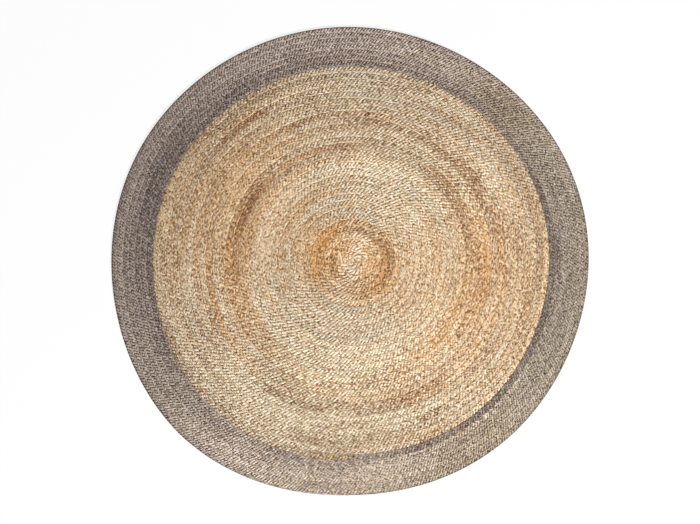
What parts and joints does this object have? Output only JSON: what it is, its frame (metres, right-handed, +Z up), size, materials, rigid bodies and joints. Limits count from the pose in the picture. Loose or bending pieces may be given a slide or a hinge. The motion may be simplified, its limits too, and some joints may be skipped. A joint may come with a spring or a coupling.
{
  "type": "round braided hemp rug",
  "caption": "Flat round floor rug of braided natural hemp, one plait coiled from the eye outwards, with a wide border of grey braid.",
  "frame": {"origin": "on the underside, in the middle of the rug's own box", "axes": "+Z up out of the walking face, +X along the rug's widest line; the plait winds outwards anticlockwise seen from above"},
  "size_m": [1.5072, 1.4784, 0.01],
  "materials": {
    "natural_hemp": "dry, slightly hairy three-strand plait in straw, ochre and brown",
    "grey_hemp": "dry, slightly hairy three-strand plait in warm grey"
  },
  "bodies": {
    "root": {"field": "natural_hemp", "border": "grey_hemp"}
  },
  "joints": []
}
